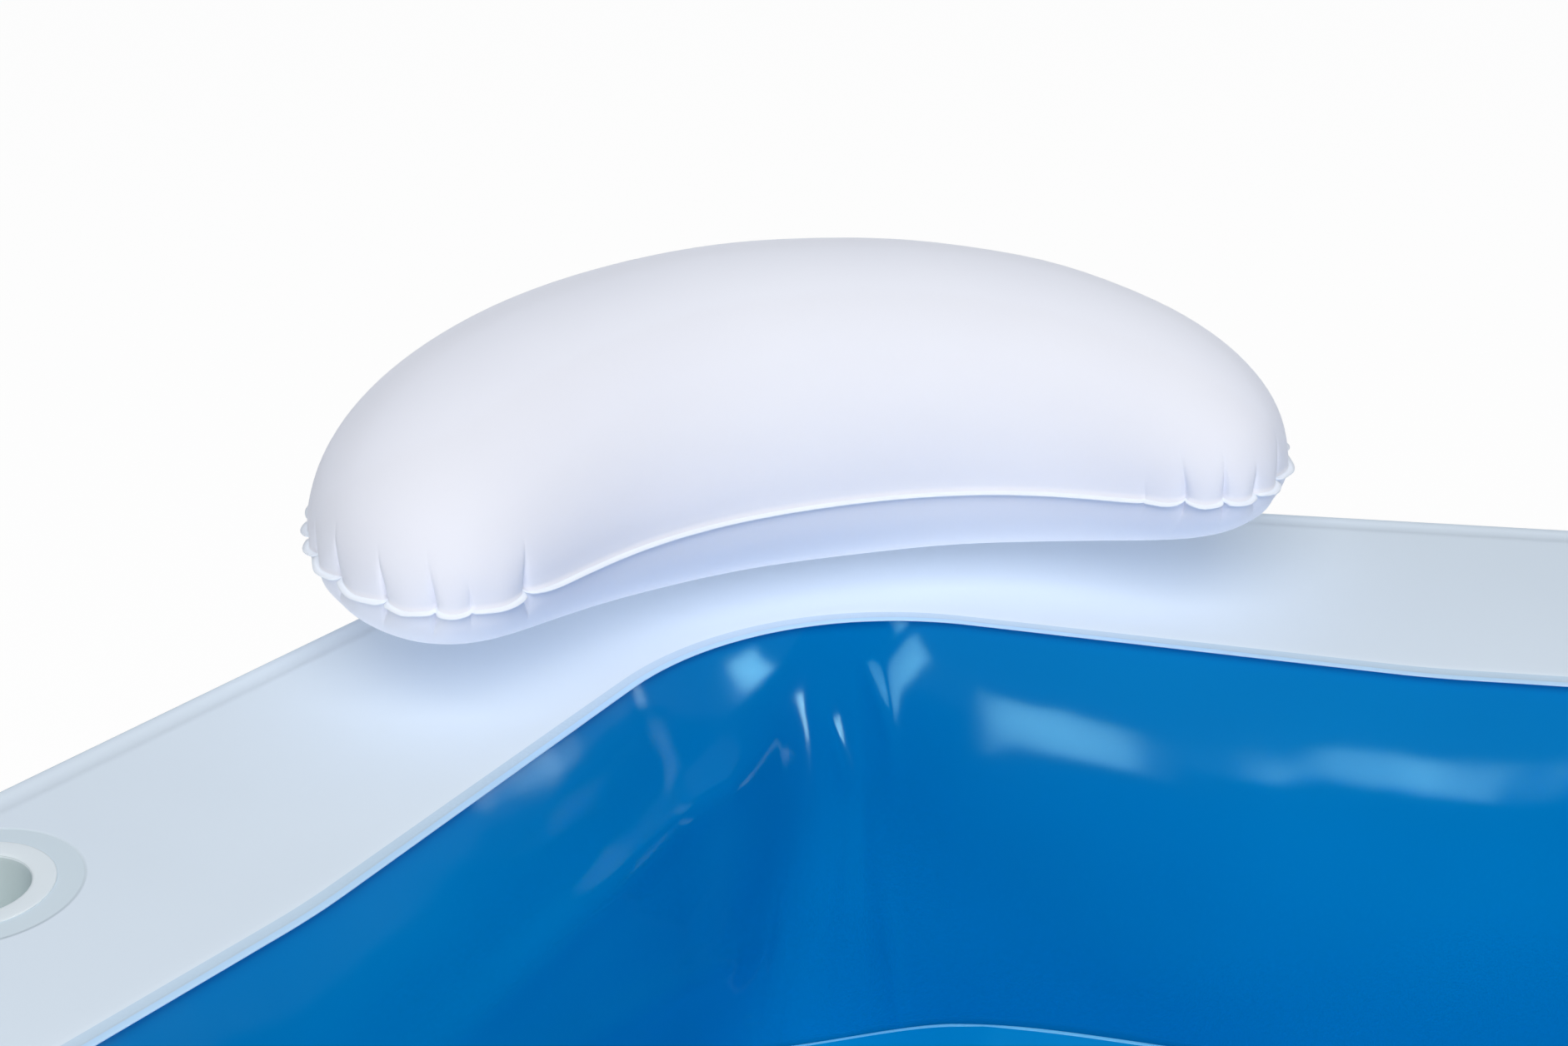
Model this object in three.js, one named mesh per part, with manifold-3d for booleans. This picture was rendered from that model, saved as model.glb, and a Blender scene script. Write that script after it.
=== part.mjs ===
// An inflatable family pool: a six-sided air ring with a flat white rim round a blue basin.
// Two cup holders are let into the rim, and a headrest lifts off each of two opposite corners.
// Millimetres, +Z up. The origin is on the ground at the middle of the pool, and +Y runs to
// the corner of headrest 1. Side 1 faces +X, and sides and corners count anticlockwise.

import * as THREE from "three";
import Module from "manifold-3d";

const wasm = await Module();
wasm.setup();

// Film and welds
const film = 0.4;
const gap = 0.3;
const samePlace = 0.0001;
const lip = 8;
const innerWeldWidth = 12;
const outerWeldWidth = 16;
const floorWeldWidth = 15;

// Ring, seen from above
const sideCount = 6;
const sharpSide = 1582;
const outerCornerRadius = 450;
const rimWidth = 295;
const innerCornerRadius = 242;
const fullWidthHalfLength = 118;
const widenDegrees = 6.5;
const widenFillet = 500;
const innerArcSteps = 4;
const bendSteps = 2;
const outerArcSteps = 3;

// Ring, seen in section
const rimHeight = 460;
const innerBulge = 50;
const outerBulge = 33;
const cornerPinchShare = 0.7;
const cornerPinchLength = 90;
const innerBulgeSteps = 6;
const outerBulgeSteps = 7;

// Inner sheets of the ring
const webTopClearance = 35;
const webHoleRadius = 28;
const webHoleHeightShares = [0.25, 0.6];
const sideWebCupClearance = 45;
const bulkheadCorners = [1, 4];

// Cup holders
const cupSides = [3, 6];
const cupInset = 89;
const cupMouthRadius = 36.5;
const cupBaseRadius = 33;
const cupFlangeRadius = 50;
const cupFlangeThickness = 1;
const cupDepth = 100;
const cupWall = 0.8;
const cupFacets = 28;

// Headrests
const headrestCorners = [2, 5];
const spineRadius = 374;
const spineHalfLength = 363;
const headrestSetbackLength = 141;
const headrestShiftWidth = 26;
const headrestTurnDegrees = 4;
const headrestHalfWidth = 172;
const headrestEndLength = 101;
const headrestSeamHeight = 96;
const headrestSeamDropHeight = 3;
const headrestCrownHeight = 157;
const headrestDepth = 98;
const headrestFlangeWidth = 8;
const pleatDepth = 4;
const spineSteps = 12;
const endSteps = 8;
const widthNarrowShare = 0.36;
const crownFallShare = 0.35;
const depthFallShare = 0.42;
const ringShares = [0, 0.35, 0.62, 0.83, 0.95, 1];
const valveRing = 3;

// Hook-and-loop patches that hold a headrest down
const patchLength = 160;
const patchWidth = 60;
const patchThickness = 1.5;
const headrestLiftOff = gap + patchThickness + gap + patchThickness + gap;

// Stopper valves, each with its stopper on a strap
const headrestValve = {
  bore: 4.3,
  wall: 1.7,
  flange: 12,
  flangeThickness: 0.8,
  outward: 6,
  inward: 8,
  stopperDepth: 5,
  stopperNarrow: 1,
  head: 8,
  headThickness: 1.5,
  pivotReach: 10,
  knuckle: 1,
  strapWidth: 5,
  hasFlap: true,
};
const chamberValve = {
  bore: 8.5,
  wall: 2.5,
  flange: 24,
  flangeThickness: 1.2,
  outward: 9,
  inward: 14,
  stopperDepth: 8,
  stopperNarrow: 1.6,
  head: 15,
  headThickness: 2,
  pivotReach: 18.5,
  knuckle: 1.3,
  strapWidth: 9,
  hasFlap: true,
};
const drainValve = {
  bore: 11,
  wall: 2.5,
  flange: 26,
  flangeThickness: 1.2,
  outward: 9,
  inward: film,
  stopperDepth: 7,
  stopperNarrow: 1.6,
  head: 17,
  headThickness: 2,
  pivotReach: 20.5,
  knuckle: 1.3,
  strapWidth: 10,
  hasFlap: false,
};
const flapThickness = 0.5;
const valveFacets = 16;
const chamberValveSides = [1, 4];
const chamberValveAlong = 300;
const drainDistance = 900;
const drainDegrees = 210;

// Worked out from the sizes above
const halfSide = sharpSide / 2;
const sideAngle = (2 * Math.PI) / sideCount;
const cornerHalfAngle = (Math.PI - sideAngle) / 2;
const apothem = halfSide / Math.tan(sideAngle / 2);
const cornerDistance = apothem / Math.cos(sideAngle / 2);
const widenLength = halfSide - fullWidthHalfLength;
const widenAngle = THREE.MathUtils.degToRad(widenDegrees);
const headrestTurn = THREE.MathUtils.degToRad(headrestTurnDegrees);
const wallTop = rimHeight - film - gap;
const wallBottom = film + gap + film;

// Finishes
const whiteVinyl = { color: 0xe6ebf4, roughness: 0.45, metalness: 0 };
const rimVinyl = { color: 0xd5dfe9, roughness: 0.4, metalness: 0 };
const blueVinyl = { color: 0x0070b8, roughness: 0.22, metalness: 0 };
const clearVinyl = { color: 0xcfdde6, roughness: 0.3, metalness: 0 };
const cupVinyl = { color: 0xb4c4c2, roughness: 0.45, metalness: 0 };
const valveVinyl = { color: 0xdde6ee, roughness: 0.35, metalness: 0 };
const patchCloth = { color: 0xe9ebee, roughness: 0.95, metalness: 0 };

const pool = new THREE.Group();

function addPiece(parent, name, geometry, finish) {
  const piece = new THREE.Mesh(geometry, new THREE.MeshStandardMaterial(finish));
  piece.name = name;
  parent.add(piece);
  return piece;
}

// A closed mesh from triangles of points. Points in one place become one vertex, triangles
// that collapse are left out, and the faces are turned to point outwards.
function closedMesh(triangles) {
  const places = [];
  const numbers = new Map();
  const numberOf = (point) => {
    const key = point.toArray().map((value) => Math.round(value / samePlace)).join(",");
    if (!numbers.has(key)) {
      numbers.set(key, places.length);
      places.push(point);
    }
    return numbers.get(key);
  };
  const faces = [];
  let volume = 0;
  for (const triangle of triangles) {
    const [a, b, c] = triangle.map(numberOf);
    if (a !== b && b !== c && c !== a) {
      faces.push([a, b, c]);
      volume += places[a].dot(places[b].clone().cross(places[c]));
    }
  }
  const order = volume > 0 ? ([a, b, c]) => [a, b, c] : ([a, b, c]) => [a, c, b];
  const geometry = new THREE.BufferGeometry();
  geometry.setAttribute("position", new THREE.Float32BufferAttribute(places.flatMap((p) => p.toArray()), 3));
  geometry.setIndex(faces.flatMap(order));
  geometry.computeVertexNormals();
  return geometry;
}

// A sheet with a front and a back, each a grid of points, closed along its borders.
// A looped sheet joins its last row to its first, and a crowned one closes at its first column.
function sheetMesh(front, back, looped, crowned) {
  const triangles = [];
  const quad = (a, b, c, d) => {
    triangles.push([a, b, c]);
    triangles.push([a, c, d]);
  };
  const rows = front.length;
  const last = front[0].length - 1;
  const rowSteps = looped ? rows : rows - 1;
  for (let i = 0; i < rowSteps; i += 1) {
    const k = (i + 1) % rows;
    for (let j = 0; j < last; j += 1) {
      quad(front[i][j], front[k][j], front[k][j + 1], front[i][j + 1]);
      quad(back[i][j], back[i][j + 1], back[k][j + 1], back[k][j]);
    }
    quad(front[i][last], front[k][last], back[k][last], back[i][last]);
    if (!crowned) {
      quad(front[k][0], front[i][0], back[i][0], back[k][0]);
    }
  }
  if (!looped) {
    const end = rows - 1;
    for (let j = 0; j < last; j += 1) {
      quad(front[0][j], front[0][j + 1], back[0][j + 1], back[0][j]);
      quad(front[end][j + 1], front[end][j], back[end][j], back[end][j + 1]);
    }
  }
  return closedMesh(triangles);
}

function trianglesOf(geometry) {
  const flat = geometry.index ? geometry.toNonIndexed() : geometry;
  const position = flat.getAttribute("position");
  const triangles = [];
  for (let i = 0; i < position.count; i += 3) {
    triangles.push([0, 1, 2].map((k) => new THREE.Vector3().fromBufferAttribute(position, i + k)));
  }
  return triangles;
}

// Cuts and joins, through manifold-3d
function toSolid(geometry) {
  const merged = closedMesh(trianglesOf(geometry));
  const vertProperties = new Float32Array(merged.getAttribute("position").array);
  const triVerts = new Uint32Array(merged.index.array);
  return new wasm.Manifold(new wasm.Mesh({ numProp: 3, vertProperties, triVerts }));
}

function fromSolid(solid) {
  const mesh = solid.getMesh();
  const geometry = new THREE.BufferGeometry();
  geometry.setAttribute("position", new THREE.Float32BufferAttribute(mesh.vertProperties, 3));
  geometry.setIndex(Array.from(mesh.triVerts));
  geometry.computeVertexNormals();
  return geometry;
}

function cutAway(geometry, tool) {
  return fromSolid(toSolid(geometry).subtract(toSolid(tool)));
}

function joined(geometries) {
  return fromSolid(geometries.map(toSolid).reduce((sum, solid) => sum.add(solid)));
}

// Plan outlines. A station holds its place along the side from the side's middle, its place out
// from the pool's middle, its normal, and its distance from the corner's middle line.
function stationFromCorner(along, inward, normalAlong, normalInward, fromCorner) {
  return {
    along: halfSide - along,
    out: apothem - inward,
    normal: [-normalAlong, -normalInward],
    fromCorner,
  };
}

function mirrored(half) {
  const others = half.slice(0, -1).reverse();
  const back = others.map((station) => ({
    ...station,
    along: -station.along,
    normal: [-station.normal[0], station.normal[1]],
  }));
  return [...half, ...back];
}

// The basin's outline on one side, its normals into the basin: round the corner, out along the
// widening rim, over a soft bend and straight to the side's middle
function innerStations(halfGap) {
  const slope = Math.tan(widenAngle);
  const cornerCos = Math.cos(cornerHalfAngle);
  const cornerSin = Math.sin(cornerHalfAngle);
  const meetAlong = ((rimWidth - widenLength * slope) * cornerCos) / (cornerSin - slope * cornerCos);
  const meetDistance = meetAlong / cornerCos;
  const halfAngle = cornerHalfAngle - widenAngle;
  const centreDistance = meetDistance + innerCornerRadius / Math.sin(halfAngle);
  const sweep = Math.PI / 2 - halfAngle;
  const startAngle = halfGap / innerCornerRadius;
  const half = [];
  for (let step = 0; step <= innerArcSteps; step += 1) {
    const angle = startAngle + (step / innerArcSteps) * (sweep - startAngle);
    const depth = centreDistance - innerCornerRadius * Math.cos(angle);
    const across = innerCornerRadius * Math.sin(angle);
    half.push(stationFromCorner(
      depth * cornerCos + across * cornerSin,
      depth * cornerSin - across * cornerCos,
      Math.cos(angle + cornerHalfAngle),
      Math.sin(angle + cornerHalfAngle),
      innerCornerRadius * angle,
    ));
  }
  const arcEnd = half[half.length - 1];
  const arcEndAlong = halfSide - arcEnd.along;
  const bendReach = widenFillet * Math.tan(widenAngle / 2);
  const bendStart = widenLength - bendReach * Math.cos(widenAngle);
  const straightNormal = [-Math.sin(widenAngle), Math.cos(widenAngle)];
  const midway = (arcEndAlong + bendStart) / 2;
  half.push(stationFromCorner(
    midway,
    rimWidth - (widenLength - midway) * slope,
    ...straightNormal,
    arcEnd.fromCorner + (midway - arcEndAlong) / Math.cos(widenAngle),
  ));
  const bendFrom = arcEnd.fromCorner + (bendStart - arcEndAlong) / Math.cos(widenAngle);
  const bendMiddleAlong = widenLength + bendReach;
  for (let step = 0; step <= bendSteps; step += 1) {
    const angle = widenAngle * (1 - step / bendSteps);
    half.push(stationFromCorner(
      bendMiddleAlong - widenFillet * Math.sin(angle),
      rimWidth - widenFillet * (1 - Math.cos(angle)),
      -Math.sin(angle),
      Math.cos(angle),
      bendFrom + widenFillet * (widenAngle - angle),
    ));
  }
  const bendEnd = half[half.length - 1];
  half.push(stationFromCorner(halfSide, rimWidth, 0, 1, bendEnd.fromCorner + bendEnd.along));
  return mirrored(half);
}

// The ring's outer outline on one side, its normals outwards
function outerStations(halfGap) {
  const centreAlong = outerCornerRadius / Math.tan(cornerHalfAngle);
  const startAngle = sideAngle / 2 - halfGap / outerCornerRadius;
  const half = [];
  for (let step = 0; step <= outerArcSteps; step += 1) {
    const angle = startAngle * (1 - step / outerArcSteps);
    half.push(stationFromCorner(
      centreAlong - outerCornerRadius * Math.sin(angle),
      outerCornerRadius * (1 - Math.cos(angle)),
      -Math.sin(angle),
      -Math.cos(angle),
      outerCornerRadius * (startAngle - angle),
    ));
  }
  half.push(stationFromCorner(halfSide, 0, 0, -1, halfSide));
  return mirrored(half);
}

function sideDirections(side) {
  const angle = (side - 1) * sideAngle;
  const out = new THREE.Vector2(Math.cos(angle), Math.sin(angle));
  const along = new THREE.Vector2(-out.y, out.x);
  return { out, along };
}

function placeOnSide(side, station, away, height) {
  const { out, along } = sideDirections(side);
  const outward = station.out + station.normal[1] * away;
  const sideways = station.along + station.normal[0] * away;
  return new THREE.Vector3(
    out.x * outward + along.x * sideways,
    out.y * outward + along.y * sideways,
    height,
  );
}

// Film sections. The line runs over the sheet's open face, from its top flange to its bottom
// flange, as [away from the outline, height], and the sheet's thickness lies on its right.
function offsetRight(line, distance) {
  return line.map((point, i) => {
    const before = line[Math.max(i - 1, 0)];
    const after = line[Math.min(i + 1, line.length - 1)];
    const into = i > 0 ? direction(before, point) : direction(point, after);
    const outOf = i < line.length - 1 ? direction(point, after) : into;
    const sum = [into[1] + outOf[1], -into[0] - outOf[0]];
    const scale = (2 * distance) / (sum[0] * sum[0] + sum[1] * sum[1]);
    return [point[0] + sum[0] * scale, point[1] + sum[1] * scale];
  });
}

function direction(from, to) {
  const run = to[0] - from[0];
  const rise = to[1] - from[1];
  const length = Math.hypot(run, rise);
  return [run / length, rise / length];
}

// The wall's own line between its two corners, a shallow arc pushed out by the air
function bulgeLine(bulge, steps) {
  const line = [];
  for (let step = 0; step <= steps; step += 1) {
    const share = step / steps;
    const height = wallTop + (wallBottom - wallTop) * share;
    line.push([-lip + bulge * 4 * share * (1 - share), height]);
  }
  return line;
}

function pinched(bulge, station) {
  const nearness = Math.exp(-((station.fromCorner / cornerPinchLength) ** 2));
  return bulge * (1 - cornerPinchShare * nearness);
}

function innerWallLine(station) {
  const wall = bulgeLine(pinched(innerBulge, station), innerBulgeSteps);
  return [[-lip - innerWeldWidth, wallTop], ...wall, [-lip + floorWeldWidth, wallBottom]];
}

function outerWallLine() {
  const wall = bulgeLine(outerBulge, outerBulgeSteps);
  return [[-lip - outerWeldWidth, wallTop], ...wall, [0, wallBottom]];
}

function sweptSheet(side, stations, lineAt) {
  const place = (station, line) => line.map(([away, height]) => placeOnSide(side, station, away, height));
  const front = stations.map((station) => place(station, lineAt(station)));
  const back = stations.map((station) => place(station, offsetRight(lineAt(station), film)));
  return sheetMesh(front, back, false, false);
}

// Outlines as flat shapes, all six sides joined
function outlinePath(stationsOf, away) {
  const points = [];
  for (let side = 1; side <= sideCount; side += 1) {
    const stations = stationsOf(0).slice(1).reverse();
    for (const station of stations) {
      const place = placeOnSide(side, station, away, 0);
      points.push(new THREE.Vector2(place.x, place.y));
    }
  }
  return points;
}

function circlePoints(x, y, radius, facets) {
  const points = [];
  for (let step = 0; step < facets; step += 1) {
    const angle = (step / facets) * 2 * Math.PI;
    points.push(new THREE.Vector2(x + radius * Math.cos(angle), y + radius * Math.sin(angle)));
  }
  return points;
}

// A round hole whose flats clear a faceted tube of this radius
function clearRadius(radius, facets) {
  return (radius + gap) / Math.cos(Math.PI / facets);
}

function flatSheet(outline, holes, thickness) {
  const shape = new THREE.Shape(outline);
  shape.holes = holes.map((hole) => new THREE.Path(hole));
  return new THREE.ExtrudeGeometry(shape, { depth: thickness, bevelEnabled: false });
}

function cupPlace(side) {
  const { out } = sideDirections(side);
  return out.clone().multiplyScalar(apothem - cupInset);
}

// Floor sheet under the whole ring, with the drain's hole
const drainAngle = THREE.MathUtils.degToRad(drainDegrees);
const drainX = drainDistance * Math.cos(drainAngle);
const drainY = drainDistance * Math.sin(drainAngle);
const drainTube = drainValve.bore + drainValve.wall;
const drainHole = circlePoints(drainX, drainY, clearRadius(drainTube, valveFacets), valveFacets);
addPiece(pool, "floor_sheet", flatSheet(outlinePath(outerStations, 0), [drainHole], film), blueVinyl);

// Rim: one flat sheet, its inner and outer edges lying past the welds as lips
const cupHoleRadius = clearRadius(cupMouthRadius + cupWall, cupFacets);
const cupHoles = cupSides.map((side) => {
  const place = cupPlace(side);
  return circlePoints(place.x, place.y, cupHoleRadius, cupFacets);
});
const rimHoles = [outlinePath(innerStations, 0), ...cupHoles];
const rimSheet = flatSheet(outlinePath(outerStations, 0), rimHoles, film);
const rim = addPiece(pool, "rim_top_panel", rimSheet, rimVinyl);
rim.position.z = rimHeight - film;

// Walls: a panel to each side, meeting its neighbours at the corners' middle lines
function valveSeat(side) {
  const { out, along } = sideDirections(side);
  const wall = bulgeLine(outerBulge, outerBulgeSteps);
  const middle = Math.floor(outerBulgeSteps / 2);
  const away = wall[middle][0];
  const height = (wall[middle][1] + wall[middle + 1][1]) / 2;
  const origin = new THREE.Vector3(
    out.x * (apothem + away) + along.x * chamberValveAlong,
    out.y * (apothem + away) + along.y * chamberValveAlong,
    height,
  );
  return { origin, normal: new THREE.Vector3(out.x, out.y, 0) };
}

function seatFrame(seat, upward) {
  const zAxis = seat.normal.clone().normalize();
  const xAxis = upward.clone().addScaledVector(zAxis, -upward.dot(zAxis)).normalize();
  const yAxis = zAxis.clone().cross(xAxis);
  return new THREE.Matrix4().makeBasis(xAxis, yAxis, zAxis).setPosition(seat.origin);
}

function tubeCutter(valve, frame) {
  const radius = clearRadius(valve.bore + valve.wall, valveFacets);
  const length = valve.outward + valve.inward;
  const cutter = new THREE.CylinderGeometry(radius, radius, length, valveFacets);
  cutter.rotateX(Math.PI / 2);
  cutter.applyMatrix4(frame);
  return cutter;
}

const up = new THREE.Vector3(0, 0, 1);
for (let side = 1; side <= sideCount; side += 1) {
  const inner = sweptSheet(side, innerStations(gap / 2), innerWallLine);
  addPiece(pool, `inner_wall_panel_${side}`, inner, blueVinyl);
  let outer = sweptSheet(side, outerStations(gap / 2), outerWallLine);
  if (chamberValveSides.includes(side)) {
    outer = cutAway(outer, tubeCutter(chamberValve, seatFrame(valveSeat(side), up)));
  }
  addPiece(pool, `outer_wall_panel_${side}`, outer, whiteVinyl);
}

// Webs: upright sheets across the ring that tie its two walls together. Their ends follow the
// walls, and their tops stop short of the rim, except on a bulkhead, which closes off a chamber.
function wallEdge(lineAt, station, facing) {
  const line = offsetRight(lineAt(station), film + gap).slice(1, -1);
  return line.map(([away, height]) => [station.out + facing * away, height]);
}

function heightCut(edge, height) {
  const points = edge.filter((point) => point[1] < height);
  const above = edge.filter((point) => point[1] >= height).pop();
  const below = points[0];
  const share = (height - below[1]) / (above[1] - below[1]);
  return [[below[0] + (above[0] - below[0]) * share, height], ...points];
}

function webMesh(angle, innerStation, outerStation, top, holed) {
  const floor = wallBottom + gap;
  const innerEdge = heightCut(wallEdge(innerWallLine, innerStation, -1), top);
  const outerEdge = heightCut(wallEdge(outerWallLine, outerStation, 1), top);
  const above = (edge) => edge.filter((point) => point[1] > floor);
  const toFloor = (edge) => [...above(edge), [edge[edge.length - 1][0], floor]];
  const outline = [...toFloor(innerEdge), ...toFloor(outerEdge).reverse()];
  const middle = (innerStation.out + outerStation.out) / 2;
  const heights = holed ? webHoleHeightShares.map((share) => top * share) : [];
  const holes = heights.map((height) => circlePoints(middle, height, webHoleRadius, cupFacets / 2));
  const vectors = outline.map(([distance, height]) => new THREE.Vector2(distance, height));
  const web = flatSheet(vectors, holes, film);
  web.translate(0, 0, -film / 2);
  const radial = new THREE.Vector3(Math.cos(angle), Math.sin(angle), 0);
  const frame = new THREE.Matrix4().makeBasis(radial, up, radial.clone().cross(up));
  web.applyMatrix4(frame);
  return web;
}

// A corner's stations are the first of a side, moved onto the corner's middle line
function cornerStation(stations) {
  const first = stations[0];
  const distance = Math.hypot(first.along, first.out);
  return { ...first, along: 0, out: distance };
}

const innerCorner = cornerStation(innerStations(0));
const outerCorner = cornerStation(outerStations(0));
const webTop = rimHeight - webTopClearance;
const bulkheadTop = wallTop - film - 2 * gap;
for (let corner = 1; corner <= sideCount; corner += 1) {
  const closed = bulkheadCorners.includes(corner);
  const angle = (corner - 1) * sideAngle + sideAngle / 2;
  const web = webMesh(angle, innerCorner, outerCorner, closed ? bulkheadTop : webTop, !closed);
  addPiece(pool, `${closed ? "bulkhead" : "corner_web"}_${corner}`, web, clearVinyl);
}

const innerMiddle = innerStations(0)[(innerStations(0).length - 1) / 2];
const outerMiddle = outerStations(0)[(outerStations(0).length - 1) / 2];
const sideWebTop = rimHeight - cupDepth - sideWebCupClearance;
for (let side = 1; side <= sideCount; side += 1) {
  const web = webMesh((side - 1) * sideAngle, innerMiddle, outerMiddle, sideWebTop, true);
  addPiece(pool, `side_web_${side}`, web, clearVinyl);
}

// Cup holders: a moulded well with a flange that lies on the rim
function turned(profile, facets) {
  const points = profile.map(([radius, height]) => new THREE.Vector2(radius, height));
  const geometry = new THREE.LatheGeometry(points, facets);
  geometry.rotateX(Math.PI / 2);
  return closedMesh(trianglesOf(geometry));
}

cupSides.forEach((side, i) => {
  const top = gap + cupFlangeThickness;
  const cup = turned([
    [0, -cupDepth],
    [cupBaseRadius, -cupDepth],
    [cupMouthRadius, top],
    [cupFlangeRadius, top],
    [cupFlangeRadius, gap],
    [cupMouthRadius + cupWall, gap],
    [cupBaseRadius + cupWall, -cupDepth - cupWall],
    [0, -cupDepth - cupWall],
  ], cupFacets);
  const piece = addPiece(pool, `cup_holder_${i + 1}`, cup, cupVinyl);
  const place = cupPlace(side);
  piece.position.set(place.x, place.y, rimHeight);
});

// Stopper valve in its own frame: its film lies at z = 0, +Z is outwards, +X is towards the
// strap's hinge. The stopper's origin is its hinge, and so is the flap's.
function addValve(parent, name, valve, frame) {
  const group = new THREE.Group();
  frame.decompose(group.position, group.quaternion, group.scale);
  parent.add(group);
  const tube = valve.bore + valve.wall;
  const flangeTop = gap + valve.flangeThickness;
  let base = turned([
    [valve.bore, -valve.inward],
    [tube, -valve.inward],
    [tube, gap],
    [valve.flange, gap],
    [valve.flange, flangeTop],
    [tube, flangeTop],
    [tube, valve.outward],
    [valve.bore, valve.outward],
    [valve.bore, -valve.inward],
  ], valveFacets);
  const seat = valve.outward + gap;
  const postTop = seat - valve.knuckle - gap;
  const postFoot = gap + valve.flangeThickness / 2;
  const post = new THREE.BoxGeometry(2 * valve.knuckle, valve.strapWidth, postTop - postFoot);
  post.translate(valve.pivotReach, 0, (postTop + postFoot) / 2);
  base = joined([base, post]);
  addPiece(group, `${name}_base`, base, valveVinyl);

  const plug = valve.bore - gap;
  const stopper = turned([
    [0, -valve.stopperDepth],
    [plug - valve.stopperNarrow, -valve.stopperDepth],
    [plug, 0],
    [valve.head, 0],
    [valve.head, valve.headThickness],
    [0, valve.headThickness],
  ], valveFacets);
  stopper.translate(-valve.pivotReach, 0, 0);
  const strapEnd = valve.head * Math.cos(Math.PI / valveFacets) - valve.pivotReach - valve.knuckle;
  const strap = new THREE.BoxGeometry(-strapEnd, valve.strapWidth, valve.knuckle);
  strap.translate(strapEnd / 2, 0, valve.knuckle / 2);
  const knuckle = new THREE.CylinderGeometry(valve.knuckle, valve.knuckle, valve.strapWidth, valveFacets / 2);
  const plugPiece = addPiece(group, `${name}_stopper`, joined([stopper, strap, knuckle]), valveVinyl);
  plugPiece.position.set(valve.pivotReach, 0, seat);

  if (valve.hasFlap) {
    const flapRadius = valve.bore + valve.wall / 2;
    const flap = turned([
      [0, -flapThickness],
      [flapRadius, -flapThickness],
      [flapRadius, 0],
      [0, 0],
    ], valveFacets);
    flap.translate(-flapRadius, 0, 0);
    const flapPiece = addPiece(group, `${name}_flap`, flap, clearVinyl);
    flapPiece.position.set(flapRadius, 0, -valve.inward - gap);
  }
}

chamberValveSides.forEach((side, i) => {
  addValve(pool, `chamber_valve_${i + 1}`, chamberValve, seatFrame(valveSeat(side), up));
});
const drainSeat = { origin: new THREE.Vector3(drainX, drainY, film), normal: up };
const drainTowardsWall = new THREE.Vector3(drainX, drainY, 0);
addValve(pool, "drain", drainValve, seatFrame(drainSeat, drainTowardsWall));

// Headrest, about the middle of its spine's arc, with +Y to its middle and z = 0 on the rim.
// Each point of its outline keeps the spine point that it belongs to.
function spineAt(run) {
  const angle = run / spineRadius;
  const narrowing = (run / spineHalfLength) ** 2;
  const falling = narrowing ** 2;
  return {
    centre: new THREE.Vector2(spineRadius * Math.sin(angle), spineRadius * Math.cos(angle)),
    normal: new THREE.Vector2(Math.sin(angle), Math.cos(angle)),
    tangent: new THREE.Vector2(Math.cos(angle), -Math.sin(angle)),
    halfWidth: headrestHalfWidth * (1 - widthNarrowShare * narrowing),
    crown: headrestCrownHeight * (1 - crownFallShare * falling),
    depth: headrestDepth * (1 - depthFallShare * falling),
    seam: headrestSeamHeight - headrestSeamDropHeight * narrowing,
  };
}

function headrestOutline() {
  const outline = [];
  const addPoint = (spine, away, ahead, pleat) => {
    const offset = spine.normal.clone().multiplyScalar(away).addScaledVector(spine.tangent, ahead);
    const outward = spine.normal.clone().multiplyScalar(away / spine.halfWidth);
    outward.addScaledVector(spine.tangent, ahead / headrestEndLength).normalize();
    const edge = spine.centre.clone().add(offset).addScaledVector(outward, -pleat);
    outline.push({ spine, edge, outward });
  };
  for (const end of [1, -1]) {
    for (let step = 0; step < spineSteps; step += 1) {
      const run = end * spineHalfLength * ((2 * step + 1) / spineSteps - 1);
      const spine = spineAt(run);
      addPoint(spine, end * spine.halfWidth, 0, 0);
    }
    const spine = spineAt(end * spineHalfLength);
    for (let step = 0; step <= endSteps; step += 1) {
      const angle = Math.PI * (step / endSteps - 1 / 2);
      const away = -end * spine.halfWidth * Math.sin(angle);
      const pleat = step % 2 === 1 ? pleatDepth : 0;
      addPoint(spine, away, end * headrestEndLength * Math.cos(angle), pleat);
    }
  }
  return outline;
}

// One panel of a headrest. side is 1 for the crowned top and -1 for the underside, which is
// flat where it rests.
function headrestPanel(side) {
  const outline = headrestOutline();
  const rest = headrestLiftOff;
  const surface = (point, share, inset) => {
    const edge = point.edge.clone().addScaledVector(point.outward, -inset);
    const place = point.spine.centre.clone().lerp(edge, share);
    const rise = (side > 0 ? point.spine.crown : point.spine.depth) * Math.sqrt(1 - share * share);
    const seam = point.spine.seam + side * (gap / 2 + film - inset);
    const height = seam + side * rise;
    const lowest = rest + inset;
    return new THREE.Vector3(place.x, place.y, side > 0 ? height : Math.max(height, lowest));
  };
  const flangePoint = (point, inset) => {
    const place = point.edge.clone().addScaledVector(point.outward, headrestFlangeWidth);
    return new THREE.Vector3(place.x, place.y, point.spine.seam + side * (gap / 2 + film - inset));
  };
  const sheet = (inset) => outline.map((point) => {
    const row = ringShares.map((share) => surface(point, share, inset));
    return [...row, flangePoint(point, inset)];
  });
  return sheetMesh(sheet(0), sheet(film), true, true);
}

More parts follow.
